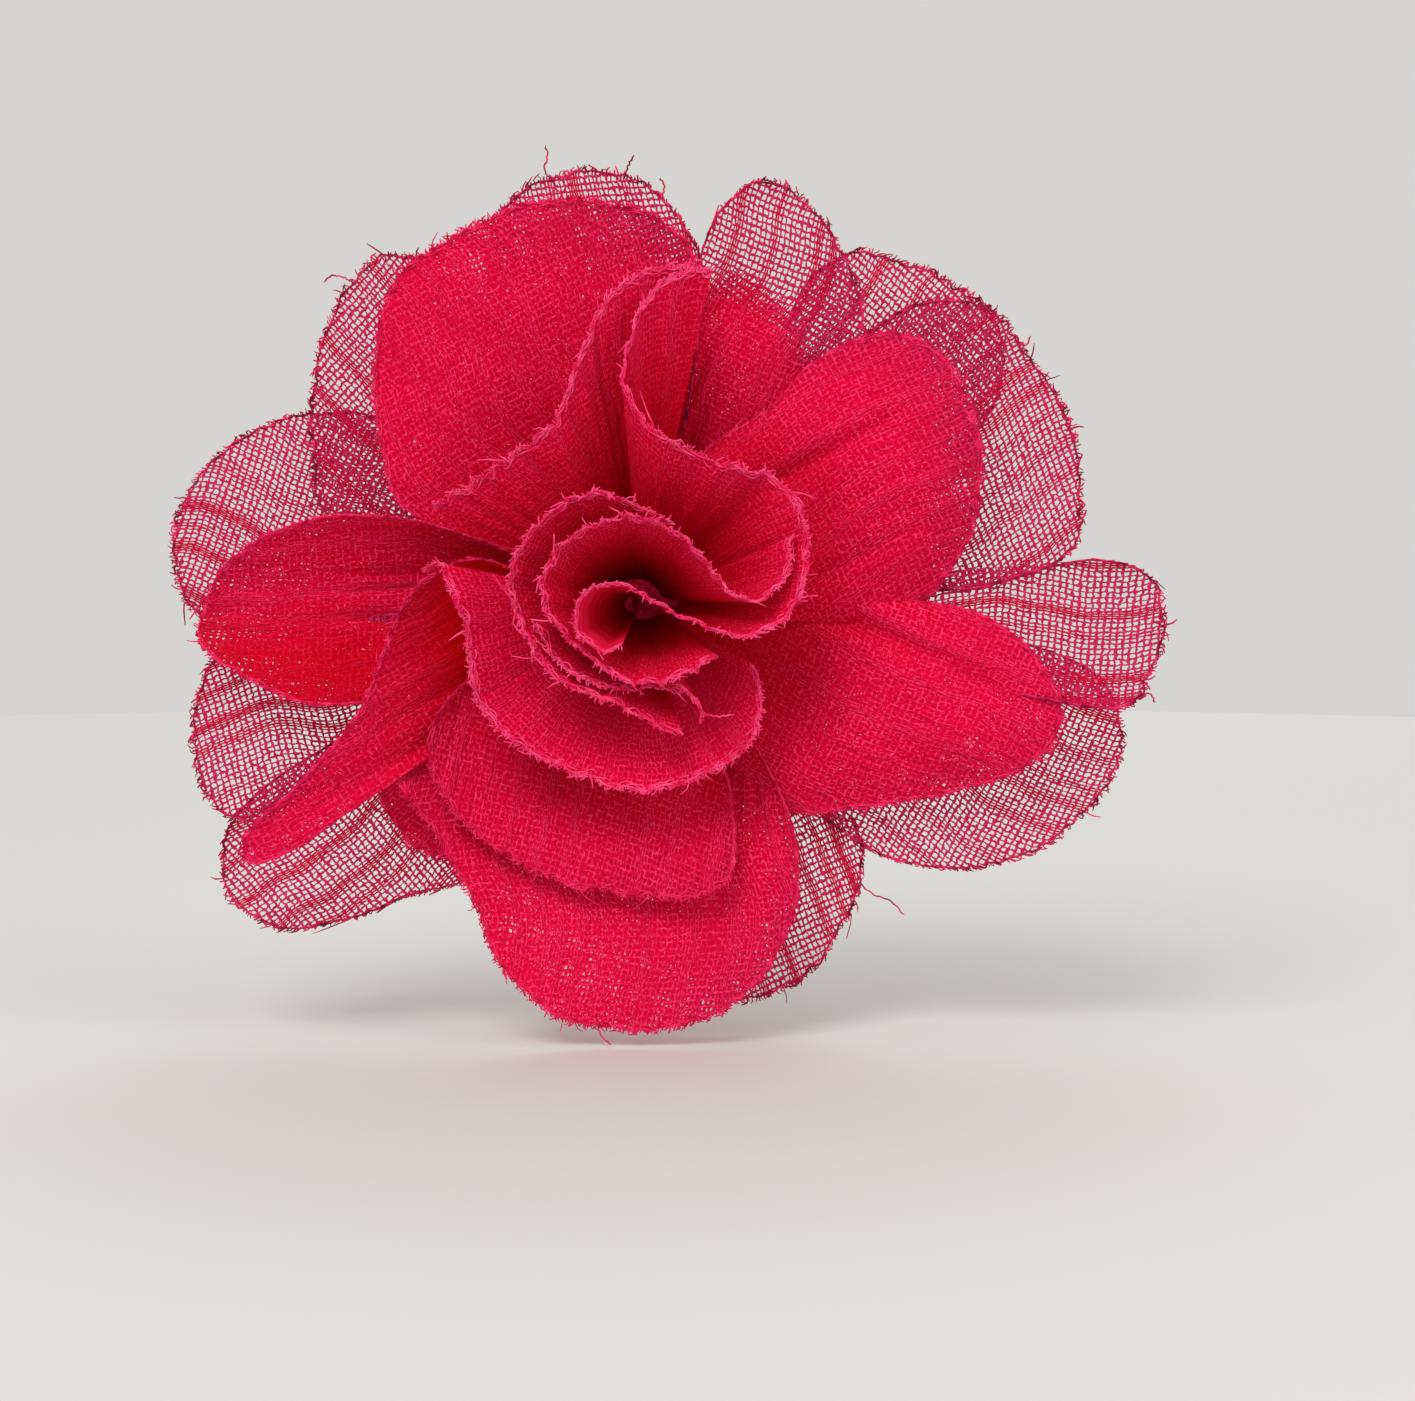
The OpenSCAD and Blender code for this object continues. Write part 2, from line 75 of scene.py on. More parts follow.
# Each petal: direction in degrees, level in the stack, plies, then its form (cup of the sides, curl of the
# tip, ruffle of the edge, bulge of the middle) and the points (x, z) that its cut edge runs through.
PETALS = {
    "petal_top": (96, 0, 1, 0.8, 0.5, 0.4, 0.6, [
        (-13, 20), (-14, 30), (-12.4, 36.2), (-8.9, 39.1), (-4.6, 40), (0, 38.6), (3.7, 34.9), (5.8, 30.4),
        (6, 21)]),
    "petal_top_right": (67, 1, 1, 2.6, 0.8, 0.4, 0.4, [
        (4, 16), (5.2, 24), (5.4, 30.8), (7.4, 35.9), (11.4, 38.5), (15.4, 36.4), (18.4, 32.2), (20.4, 26),
        (19.5, 17), (14, 9)]),
    "petal_upper_right": (49, 0, 1, 0.5, 0.0, 0.4, 0.5, [
        (12, 20), (15, 29), (19.6, 32.4), (24, 31.5), (28.8, 29.4), (32.8, 26), (33, 19.4), (27, 11),
        (17, 6)]),
    "petal_right_back": (23, 1, 1, 0.8, -0.6, 0.6, 0.6, [
        (11, 12), (18, 22), (23.8, 26.6), (29, 28), (33.2, 26.6), (36.8, 21.6), (39.4, 16.5), (40.2, 10.4),
        (39.5, 5), (34, 2.2), (26, 1), (14, -2)]),
    "petal_right_round": (28, 4, 2, -3.2, -0.6, 0.4, 2.2, [
        (2.4, 10.5), (6.6, 14.6), (11.6, 17.6), (15.6, 21.9), (21, 24.5), (25.9, 23.6), (29.2, 18.9),
        (31, 12.4), (30.2, 6), (26.7, 0.7), (21.2, -1.8), (16, -1.6), (10.4, -0.6)]),
    "petal_right_narrow": (-3, 2, 1, 1.5, 0.8, 0.4, 0.4, [
        (16, 1.6), (24, 1.3), (31, 1.6), (36.5, 3.3), (42, 4.3), (46.3, 2.7), (47.5, -1.2), (46.3, -5.6),
        (43.6, -9), (35, -8), (22, -5.4), (12, -3.4)]),
    "petal_lower_right_back": (-26, 1, 1, 0.6, -0.6, 0.6, 0.6, [
        (18, -1.8), (30, -2.8), (38.4, -4.6), (43.2, -7.8), (44.2, -12.8), (42.3, -18), (37, -22.6),
        (31.4, -24.5), (26.4, -24.3), (20.6, -22.3), (12.6, -16), (7.6, -9)]),
    "petal_lower_right": (-24, 3, 2, -1.2, -0.6, 0.7, 1.6, [
        (10, -0.6), (18, 0.4), (25, 0.4), (31, -0.8), (35.4, -3.8), (38, -7.8), (37.9, -11.6), (33.4, -15.3),
        (24, -18), (15.4, -19.4), (9.4, -18.4), (6.2, -13.4), (4.6, -8)]),
    "petal_bottom_right_back": (-64, 0, 1, 0.8, 0.0, 0.4, 0.5, [
        (11, -9), (16.4, -17), (20, -20.6), (20.7, -25), (19.4, -29.4), (16.4, -33.8), (12, -36.6),
        (6.6, -36.4), (3, -30), (1.6, -16)]),
    "petal_bottom": (-87, 2, 2, 1.6, 1.6, 0.5, 0.8, [
        (-16, -7), (-22.4, -12.4), (-21.6, -16.4), (-18.4, -21.4), (-15, -27.4), (-12.9, -32.6),
        (-9.2, -36.4), (-3.7, -38.6), (3.7, -38.4), (9.4, -35.6), (13, -30.8), (14.5, -25.3), (13.6, -19),
        (9, -10)]),
    "petal_bottom_inner": (252, 3, 2, 1.0, 1.6, 0.5, 1.0, [
        (-13, -4.4), (-17.6, -8.8), (-18.9, -13), (-17.4, -18), (-13, -22.4), (-7.4, -25), (0, -26.3),
        (6.2, -26.4), (8.6, -23.4), (8, -16), (5, -9)]),
    "petal_bottom_left_under": (234, 1, 2, 0.5, 0.0, 0.4, 0.3, [
        (-14, -6), (-23.6, -12.6), (-24.4, -16.4), (-21.4, -22), (-15.6, -24), (-9.4, -22), (-5, -12)]),
    "petal_bottom_left_back": (221, 0, 1, 0.6, 0.0, 0.5, 0.5, [
        (-14, -5), (-28, -12.6), (-35.6, -17.6), (-38.5, -21.8), (-38.2, -26.4), (-34.6, -29.8),
        (-28.5, -29.8), (-22, -27.6), (-15.4, -25.3), (-9.4, -17), (-4.6, -8)]),
    "petal_lower_left_back": (197, 1, 1, 0.6, 0.0, 0.4, 0.5, [
        (-12, 0), (-26, -1.4), (-35.4, -3), (-39.4, -5), (-40.9, -9), (-41.1, -13.3), (-39.8, -17.2),
        (-36.4, -20), (-28, -18.4), (-14, -9)]),
    "petal_left_folded": (210, 4, 2, 0.0, 0.4, 0.3, 0.0, [
        (-9.6, 2.4), (-15.4, 4.4), (-20.4, 1.4), (-22.6, -4), (-25, -9.2), (-29, -13.8), (-32.6, -17.6),
        (-35.6, -20.6), (-34.6, -22.9), (-29.6, -20.8), (-23.8, -16.2), (-17, -12.6), (-9.6, -8)]),
    "petal_left": (181, 2, 2, 3.0, 0.5, 0.4, -1.4, [
        (-9, 3.4), (-15, 6), (-21.6, 8), (-28.5, 8.1), (-34, 6.3), (-38, 3.2), (-40.1, -0.8), (-39.6, -3.8),
        (-35, -6.8), (-29, -8.8), (-21, -8), (-10, -3.6)]),
    "petal_left_back": (162, 0, 1, 0.6, 0.0, 0.5, 0.5, [
        (-9, 8), (-18, 14.4), (-25, 17.3), (-30.4, 17.7), (-35.2, 16.4), (-39.5, 13.3), (-42.2, 9.3),
        (-42.9, 4.1), (-40.8, -1), (-33, -1.6), (-15, -1)]),
    "petal_upper_left_back": (140, 1, 1, 0.8, 0.0, 0.5, 0.5, [
        (-6, 14), (-13, 25), (-18.6, 30.8), (-23.4, 31.7), (-27, 29), (-29.4, 24.4), (-30.4, 18.9),
        (-30, 13.3), (-28.6, 8), (-23, 4.6), (-11, 2.6)]),
    "petal_upper_left": (121, 2, 2, 1.2, 0.9, 0.6, 1.4, [
        (2, 12), (4.4, 22), (5.2, 30), (3, 34.2), (-3, 36.4), (-8.4, 36.6), (-13, 35.6), (-17.7, 33.2),
        (-21.9, 29.8), (-24, 24), (-24, 17), (-22.4, 10), (-17, 6.4), (-8, 4)]),
}

# The rose's walls: height of the foot over the felt, then the rim as (x, z, share of the rose's height)
ROSE = {
    "rose_wing": (6.9, [
        (-18.6, 9.0, 0.58), (-13.4, 12.0, 0.66), (-8.2, 16.8, 0.72), (-4.6, 22.8, 0.76), (-2.8, 27, 0.78),
        (0.6, 30.2, 0.76), (5.6, 31.6, 0.70)]),
    "rose_scroll": (6.8, [
        (6.6, 30.2, 0.70), (2.6, 28.8, 0.76), (-0.4, 25.4, 0.79), (-1.6, 21, 0.80), (0.4, 16.8, 0.84),
        (4.8, 14.3, 0.86), (9.4, 12.7, 0.88), (13, 10.6, 0.9), (15, 7, 0.9), (15, 3, 0.9), (12.6, -0.6, 0.91),
        (9.2, -2.3, 0.93), (6, -1.5, 0.94), (3.2, 0, 0.96), (0.6, 1.5, 0.98), (-1.6, 2.5, 1),
        (-4, 2.2, 1), (-5.5, 0.4, 1), (-5.4, -1.8, 1), (-3.6, -3.2, 1), (-1.4, -2.8, 0.98)]),
    "rose_inner_curl": (6.4, [
        (13.8, 6.6, 0.88), (13.4, 3.4, 0.9), (10.8, 1.2, 0.92), (8, 1.9, 0.93), (5.7, 4.7, 0.95),
        (3.2, 7, 0.96), (0, 8.3, 0.97), (-3.5, 8.2, 0.97), (-6.2, 6.5, 0.97), (-7.7, 3.1, 0.97),
        (-7.4, -0.6, 0.97), (-5.8, -3.5, 0.96), (-3, -5.3, 0.95), (0.7, -6, 0.94), (4, -5.3, 0.93),
        (7.1, -4, 0.9)]),
    "rose_outer_curl": (6.1, [
        (3.4, 7.9, 0.9), (0.2, 9.4, 0.91), (-3.9, 10.3, 0.91), (-7.6, 8.9, 0.92), (-10, 6.1, 0.92),
        (-11.1, 2.3, 0.92), (-10.4, -1.7, 0.92), (-8.3, -4.8, 0.91), (-5.3, -7, 0.9), (-1.7, -8.6, 0.88),
        (1.7, -9.8, 0.86), (4.2, -10.9, 0.83)]),
    "rose_lower_lip": (6.4, [
        (-9.3, -0.8, 0.88), (-7.2, -4.1, 0.89), (-4, -6.1, 0.89), (0.4, -7.2, 0.88), (3.8, -7.2, 0.86),
        (5.7, -8.6, 0.82), (5.8, -10.2, 0.78)]),
    "rose_collar": (6.9, [
        (-19.4, 3.2, 0.68), (-17.6, 4.2, 0.74), (-16, 0.4, 0.76), (-15.4, -4, 0.76), (-13.8, -8.8, 0.74),
        (-10.6, -12.4, 0.72), (-5.2, -15, 0.7), (0, -16.2, 0.7), (5.4, -15.4, 0.68), (9.6, -12.2, 0.66),
        (11.2, -8, 0.66), (10.4, -5, 0.68)]),
}

# How strong the painted shade is at the foot of a wall, where that isn't 1: a wall's colour is painted darker
# towards its foot, in place of the shade down in the rose
FOOT_SHADE = {"rose_collar": 0.0, "rose_wing": 0.8}

# Long threads that have worked loose, each from a point of a cut edge: petal, share along its edge, then the
# steps (x, z, height) in millimetres that it takes from there
STRAYS = [
    ("petal_top", 0.44, [(-0.6, 0.9, 0.3), (0.3, 1.2, 0.2), (-0.2, 1.0, -0.2)]),
    ("petal_top", 0.58, [(0.3, 1.0, 0.2), (0.5, 0.9, 0.1)]),
    ("petal_top", 0.66, [(0.2, 1.1, 0.1), (-0.4, 0.7, 0.3)]),
    ("petal_upper_left_back", 0.42, [(-0.9, 0.5, 0.2), (-1.1, 0.1, 0.1), (-0.6, -0.6, 0.2)]),
    ("petal_upper_left_back", 0.72, [(-1.2, -0.3, 0.2), (-0.9, 0.3, 0.4)]),
    ("petal_left_back", 0.90, [(-1.5, -1.9, 0.5), (-2.0, -0.7, 0.2), (-2.2, -0.3, 0.1)]),
    ("petal_upper_right", 0.58, [(1.2, 0.5, 0.3), (1.0, 0.9, 0.1), (0.2, 0.6, 0.3)]),
    ("petal_right_back", 0.74, [(1.1, -0.5, 0.2), (0.9, 0.3, 0.3)]),
    ("petal_right_narrow", 0.56, [(1.0, 0.5, 0.2), (0.5, -0.8, 0.1)]),
    ("petal_bottom_right_back", 0.34, [(1.4, -1.1, 0.3), (1.5, -0.5, 0.4), (1.3, -1.3, 0.1)]),
    ("petal_bottom_left_back", 0.52, [(-1.0, 0.4, 0.2), (-0.3, 1.1, 0.2), (0.6, 0.8, 0.1)]),
    ("petal_bottom", 0.50, [(0.3, -0.9, 0.3), (0.9, -0.8, 0.2)]),
    ("rose_scroll", 0.60, [(0.9, 0.8, 0.3), (1.4, 0.2, 0.2)]),
    ("rose_lower_lip", 0.95, [(1.3, -0.3, 0.2), (1.6, 0.2, 0.3)]),
]


# ---------------------------------------------------------------- helpers for shapes
def waves(seed, count, low, high):
    """Random wave numbers and phases for a sum of sines, seeded."""
    rng = np.random.default_rng(seed)
    return rng.uniform(low, high, count) * rng.choice([-1, 1], count), rng.uniform(0, 2 * np.pi, count)


def wobble(x, seed, count=4, low=0.2, high=0.7):
    """A smooth random curve of x, between about -1 and 1."""
    k, phase = waves(seed, count, low, high)
    return sum(np.sin(k[i] * x + phase[i]) for i in range(count)) / math.sqrt(count)


def wobble2(x, y, seed, count=6, low=0.2, high=0.7):
    """A smooth random surface over x and y, between about -1 and 1."""
    kx, phase = waves(seed, count, low, high)
    ky, _ = waves(seed + 1, count, low, high)
    return sum(np.sin(kx[i] * x + ky[i] * y + phase[i]) for i in range(count)) / math.sqrt(count)


def grid_mesh(name, points, uv, values, material):
    """An open sheet from points[i][j], with thread coordinates and named values at its points."""
    n, m = points.shape[:2]
    index = np.arange(n * m).reshape(n, m)
    quads = np.stack([index[:-1, :-1], index[1:, :-1], index[1:, 1:], index[:-1, 1:]], -1).reshape(-1, 4)
    mesh = bpy.data.meshes.new(name)
    mesh.from_pydata(points.reshape(-1, 3).tolist(), [], quads.tolist())
    flat = uv.reshape(-1, 2)
    layer = mesh.uv_layers.new(name="cloth")
    layer.data.foreach_set("uv", flat[quads.reshape(-1)].astype(np.float32).reshape(-1))
    for key, value in values.items():
        attribute = mesh.attributes.new(key, "FLOAT", "POINT")
        attribute.data.foreach_set("value", value.reshape(-1).astype(np.float32))
    mesh.polygons.foreach_set("use_smooth", np.ones(len(quads), bool))
    mesh.materials.append(material)
    obj = bpy.data.objects.new(name, mesh)
    bpy.context.scene.collection.objects.link(obj)
    return obj


def tubes_mesh(name, paths, radii, material, sides=4):
    """Many thin tubes in one mesh. paths is a list of point arrays in metres, radii one number each."""
    verts, faces, start = [], [], 0
    angles = np.arange(sides) * 2 * np.pi / sides
    for path, radius in zip(paths, radii):
        path = np.asarray(path)
        tangent = np.gradient(path, axis=0)
        tangent /= np.linalg.norm(tangent, axis=1)[:, None] + 1e-12
        up = np.array([0.31, 0.87, 0.38])
        side = np.cross(tangent, up)
        side /= np.linalg.norm(side, axis=1)[:, None] + 1e-12
        other = np.cross(tangent, side)
        n = len(path)
        taper = np.ones(n)
        taper[-1] = 0.6
        ring = path[:, None] + radius * taper[:, None, None] * (
            np.cos(angles)[None, :, None] * side[:, None] + np.sin(angles)[None, :, None] * other[:, None])
        verts.append(ring.reshape(-1, 3))
        for i in range(n - 1):
            for s in range(sides):
                a, b = start + i * sides + s, start + i * sides + (s + 1) % sides
                faces.append((a, b, b + sides, a + sides))
        faces.append(tuple(start + s for s in range(sides))[::-1])
        faces.append(tuple(start + (n - 1) * sides + s for s in range(sides)))
        start += n * sides
    mesh = bpy.data.meshes.new(name)
    mesh.from_pydata(np.concatenate(verts).tolist(), [], faces)
    mesh.polygons.foreach_set("use_smooth", np.ones(len(faces), bool))
    mesh.materials.append(material)
    obj = bpy.data.objects.new(name, mesh)
    bpy.context.scene.collection.objects.link(obj)
    return obj


def smooth_curve(points, count):
    """A Catmull-Rom curve through the points, evenly spaced along its length."""
    p = np.asarray(points, float)
    p = np.vstack([2 * p[0] - p[1], p, 2 * p[-1] - p[-2]])
    out = []
    for i in range(1, len(p) - 2):
        t = np.linspace(0, 1, 24, endpoint=False)[:, None]
        a, b, c, d = p[i - 1], p[i], p[i + 1], p[i + 2]
        out.append(0.5 * (2 * b + (c - a) * t + (2 * a - 5 * b + 4 * c - d) * t ** 2
                          + (3 * b - a - 3 * c + d) * t ** 3))
    curve = np.vstack(out + [p[-2][None]])
    along = np.concatenate([[0], np.cumsum(np.linalg.norm(np.diff(curve[:, :2], axis=0), axis=1))])
    even = np.linspace(0, along[-1], count)
    return np.stack([np.interp(even, along, curve[:, k]) for k in range(curve.shape[1])], -1), along[-1]


def bunch(x, y, seed):
    """Crinkled cloth has its threads packed into streaks: (thread number, density) at x, y millimetres."""
    rng = np.random.default_rng(seed + 7)
    line = np.linspace(-60, 60, 6001)
    dens = np.full(line.shape, 0.88)
    at = -60.0
    while at < 60:
        width = rng.uniform(0.22, 0.6)
        dens += rng.uniform(0.4, 1.7) * np.exp(-((line - at) / width) ** 2)
        at += rng.uniform(1.4, 4.6)
    count = np.concatenate([[0], np.cumsum(dens)])[:-1] * (line[1] - line[0])
    x = x + 0.7 * wobble(y * 0.5, seed + 9) + 0.12 * wobble(y * 2.2, seed + 10)
    return np.interp(x, line, count) / WARP_PITCH, np.interp(x, line, dens)


# ---------------------------------------------------------------- helpers for materials
class Nodes:
    """Short calls that add nodes to a material."""

    def __init__(self, name):
        self.material = bpy.data.materials.new(name)
        self.material.use_nodes = True
        self.tree = self.material.node_tree
        self.tree.nodes.clear()
        self.output = self.tree.nodes.new("ShaderNodeOutputMaterial")

    def link(self, value, socket):
        if hasattr(value, "is_output"):
            self.tree.links.new(value, socket)
        elif value is not None:
            socket.default_value = value

    def add(self, kind, **inputs):
        node = self.tree.nodes.new(kind)
        for key, value in inputs.items():
            self.link(value, node.inputs[key.replace("_", " ")])
        return node

    def math(self, operation, a, b=None, c=None, clamp=False):
        node = self.tree.nodes.new("ShaderNodeMath")
        node.operation, node.use_clamp = operation, clamp
        for i, value in enumerate((a, b, c)):
            if value is not None:
                self.link(value, node.inputs[i])
        return node.outputs[0]

    def noise(self, vector, scale, detail=1.0, dimensions="3D", rough=0.5):
        node = self.tree.nodes.new("ShaderNodeTexNoise")
        node.noise_dimensions = dimensions
        self.link(vector, node.inputs["Vector"])
        node.inputs["Scale"].default_value = scale
        node.inputs["Detail"].default_value = detail
        node.inputs["Roughness"].default_value = rough
        return node.outputs["Fac"]

    def mix(self, factor, a, b):
        node = self.tree.nodes.new("ShaderNodeMix")
        node.data_type = "RGBA"
        self.link(factor, node.inputs["Factor"])
        self.link(a, node.inputs["A"])
        self.link(b, node.inputs["B"])
        return node.outputs["Result"]

    def ramp(self, value, low, high):
        node = self.tree.nodes.new("ShaderNodeMapRange")
        node.interpolation_type = "SMOOTHSTEP"
        self.link(value, node.inputs["Value"])
        node.inputs["From Min"].default_value = low
        node.inputs["From Max"].default_value = high
        return node.outputs["Result"]

    def combine(self, x, y, z=0.0):
        node = self.tree.nodes.new("ShaderNodeCombineXYZ")
        for i, value in enumerate((x, y, z)):
            self.link(value, node.inputs[i])
        return node.outputs[0]


# Painted shade: the dark red that folds and the hollows near and inside the rose are painted towards
HOLLOW_SHADE = (0.60, 0.0, 0.0, 1)
# Darker red: painted shade at the front ply's thread edges and in its holes, and also the random cloudy
# mottle
SHADE_AND_MOTTLE = (0.64, 0.001, 0.024, 1)
# The ply behind, seen through the front ply's holes, painted darker than the thread: painted shade
UNDER = (0.70, 0.002, 0.040, 1)
THREAD = (0.79, 0.003, 0.058, 1)
# Painted highlight: the pink that thread tops are painted where they catch the light
GLINT = (1.0, 0.055, 0.20, 1)
# Single-ply threads: a dark plum painted at their edges as painted shade, and a thread colour darker than
# THREAD, partly their plummer hue and partly painted shade
PLUM_EDGE_SHADE = (0.26, 0.008, 0.055, 1)
THIN_SHADED = (0.58, 0.020, 0.115, 1)
STREAK = (0.60, 0.003, 0.045, 1)


def weave_ply(n, u, v, dens, half_width, seed):
    """One ply of open plain weave: (how solid, height of the thread) at thread coordinates u, v."""
    at = n.combine(u, v, seed)
    bend_u = n.math("MULTIPLY_ADD", n.noise(at, 0.95, 2.0), 1.0, -0.5)
    bend_v = n.math("MULTIPLY_ADD", n.noise(n.combine(v, u, seed + 5.3), 0.95, 2.0), 1.0, -0.5)
    fuzz = n.math("MULTIPLY_ADD", n.noise(at, 5.0, 2.0), 0.7, -0.35)
    thick = n.math("ADD", n.math("MULTIPLY_ADD", n.noise(at, 0.9, 1.0), 0.16, -0.08), half_width)
    heights = []
    for coordinate, bend, density in ((u, bend_u, dens), (v, bend_v, None)):
        off = n.math("ABSOLUTE", n.math("SUBTRACT", n.math("FRACT", n.math("ADD", coordinate, bend)), 0.5))
        width = n.math("MULTIPLY", thick, density) if density is not None else thick
        share = n.math("SUBTRACT", 1.0, n.math("DIVIDE", off, width))
        heights.append(n.math("ADD", share, fuzz))
    height = n.math("MAXIMUM", heights[0], heights[1], clamp=True)
    return n.ramp(height, 0.0, 0.16), height


def gauze(name):
    """Crinkled open-weave crepe. Where "ply" is 1 a second layer lies behind and closes nearly every hole.
    The third attribute read below is painted shade: where it is 1 the colour is painted darkest, in place of
    the shade down in the folds and hollows."""
    n = Nodes(name)
    uv = n.tree.nodes.new("ShaderNodeUVMap")
    uv.uv_map = "cloth"
    split = n.add("ShaderNodeSeparateXYZ", Vector=uv.outputs["UV"])
    u, v = split.outputs[0], split.outputs[1]
    given = []
    for attribute_name in ("dens", "ply", "painted_shade"):
        attribute = n.tree.nodes.new("ShaderNodeAttribute")
        attribute.attribute_name = attribute_name
        given.append(attribute.outputs["Fac"])
    dens, ply, painted_shade = given
    solid, height = weave_ply(n, u, v, dens, n.math("MULTIPLY_ADD", ply, 0.025, 0.215), 1.0)
    cloud = n.noise(n.combine(u, v, 3.1), 0.09, 3.0)
    # Painted highlights: short pink streaks along the threads, only on their raised tops, mixed into the
    # single and front ply colours below
    painted_glints = []
    for across, along, seed in ((u, v, 8.0), (v, u, 4.0)):
        at = n.combine(n.math("MULTIPLY", across, 3.2), n.math("MULTIPLY", along, 0.9), seed)
        painted_glints.append(n.ramp(n.noise(at, 1.0, 1.0), 0.54, 0.63))
    painted_glint = n.math("MULTIPLY", n.math("MAXIMUM", painted_glints[0], painted_glints[1]), n.ramp(height, 0.1, 0.6))
    packed = n.ramp(dens, 0.9, 1.9)
    # Painted shade: single-ply threads painted darker towards their edges
    single = n.mix(n.ramp(height, 0.0, 0.7), PLUM_EDGE_SHADE, n.mix(packed, THIN_SHADED, STREAK))
    single = n.mix(n.math("MULTIPLY", painted_glint, 0.5), single, GLINT)
    u2 = n.math("ADD", n.math("MULTIPLY", u, 0.96), n.math("MULTIPLY", v, 0.21))
    v2 = n.math("SUBTRACT", n.math("MULTIPLY", v, 0.99), n.math("MULTIPLY", u, 0.17))
    open_patch = n.math("MULTIPLY", n.ramp(n.noise(n.combine(u, v, 6.6), 0.045, 2.0), 0.54, 0.68), -0.13)
    behind = n.math("MULTIPLY", n.math("ADD", open_patch, 0.50), ply)
    second, _ = weave_ply(n, u2, v2, None, behind, 11.0)
    second = n.math("MULTIPLY", second, n.ramp(ply, 0.05, 0.3))
    # Painted shade: the front ply's threads painted darker towards their edges, and the ply behind painted
    # darker in the holes
    front = n.mix(n.math("MULTIPLY", painted_glint, 0.85), n.mix(n.ramp(height, 0.0, 0.5), SHADE_AND_MOTTLE, THREAD), GLINT)
    double = n.mix(solid, n.mix(n.ramp(cloud, 0.3, 0.7), SHADE_AND_MOTTLE, UNDER), front)
    colour = n.mix(ply, single, double)
    cover = n.math("MAXIMUM", solid, second)
    # Random cloudy mottle towards the darker red
    colour = n.mix(n.math("MULTIPLY", n.ramp(cloud, 0.35, 0.75), 0.3), colour, SHADE_AND_MOTTLE)
    # Painted shade: darken towards the hollow red by the painted-shade value, in place of the shade in folds
    # and near the rose
    colour = n.mix(n.math("MULTIPLY", painted_shade, 0.9), colour, HOLLOW_SHADE)
    crinkle = n.noise(n.combine(n.math("MULTIPLY", u, 0.62), n.math("MULTIPLY", v, 0.20), 2.0), 1.0, 3.0)
    coarse = n.add("ShaderNodeBump", Strength=0.7, Distance=0.0007, Height=crinkle)
    bump = n.add("ShaderNodeBump", Strength=0.4, Distance=0.00012, Height=height, Normal=coarse.outputs[0])
    cloth = n.add("ShaderNodeBsdfPrincipled", Base_Color=colour, Roughness=0.9, Normal=bump.outputs[0])
    cloth.inputs["Specular IOR Level"].default_value = 0.03
    cloth.inputs["Sheen Weight"].default_value = 0.03
    cloth.inputs["Sheen Roughness"].default_value = 0.4
    cloth.inputs["Sheen Tint"].default_value = (1.0, 0.08, 0.3, 1)
    glow = n.add("ShaderNodeBsdfTranslucent", Color=n.mix(0.35, colour, THREAD))
    share = n.math("MULTIPLY_ADD", ply, -0.17, 0.25)
    both = n.add("ShaderNodeMixShader", Fac=share)
    n.link(cloth.outputs[0], both.inputs[1])
    n.link(glow.outputs[0], both.inputs[2])
    clear = n.add("ShaderNodeBsdfTransparent")
    shown = n.add("ShaderNodeMixShader", Fac=cover)
    n.link(clear.outputs[0], shown.inputs[1])
    n.link(both.outputs[0], shown.inputs[2])
    n.link(shown.outputs[0], n.output.inputs["Surface"])
    return n.material


def thread_material(name, colour, dark):
    n = Nodes(name)
    where = n.tree.nodes.new("ShaderNodeTexCoord").outputs["Object"]
    mottle = n.noise(where, 900, 3.0)
    shade = n.mix(n.ramp(mottle, 0.3, 0.7), dark, colour)
    bump = n.add("ShaderNodeBump", Strength=0.4, Distance=0.00005, Height=n.noise(where, 9000, 2.0))
    cloth = n.add("ShaderNodeBsdfPrincipled", Base_Color=shade, Roughness=0.8, Normal=bump.outputs[0])
    cloth.inputs["Sheen Weight"].default_value = 0.04
    cloth.inputs["Sheen Tint"].default_value = (1.0, 0.1, 0.3, 1)
    cloth.inputs["Specular IOR Level"].default_value = 0.05
    n.link(cloth.outputs[0], n.output.inputs["Surface"])
    return n.material


def felt_material():
    n = Nodes("felt_red")
    where = n.tree.nodes.new("ShaderNodeTexCoord").outputs["Object"]
    fibres = n.noise(where, 2600, 5.0, rough=0.7)
    clouds = n.noise(where, 160, 3.0)
    colour = n.mix(n.ramp(fibres, 0.35, 0.7), (0.16, 0.0, 0.01, 1), (0.46, 0.008, 0.03, 1))
    colour = n.mix(n.math("MULTIPLY", n.ramp(clouds, 0.35, 0.7), 0.4), colour, (0.30, 0.002, 0.016, 1))
    bump = n.add("ShaderNodeBump", Strength=0.8, Distance=0.0002, Height=fibres)
    cloth = n.add("ShaderNodeBsdfPrincipled", Base_Color=colour, Roughness=0.95, Normal=bump.outputs[0])
    cloth.inputs["Sheen Weight"].default_value = 0.05
    cloth.inputs["Sheen Tint"].default_value = (1.0, 0.1, 0.2, 1)
    cloth.inputs["Specular IOR Level"].default_value = 0.05
    n.link(cloth.outputs[0], n.output.inputs["Surface"])
    return n.material


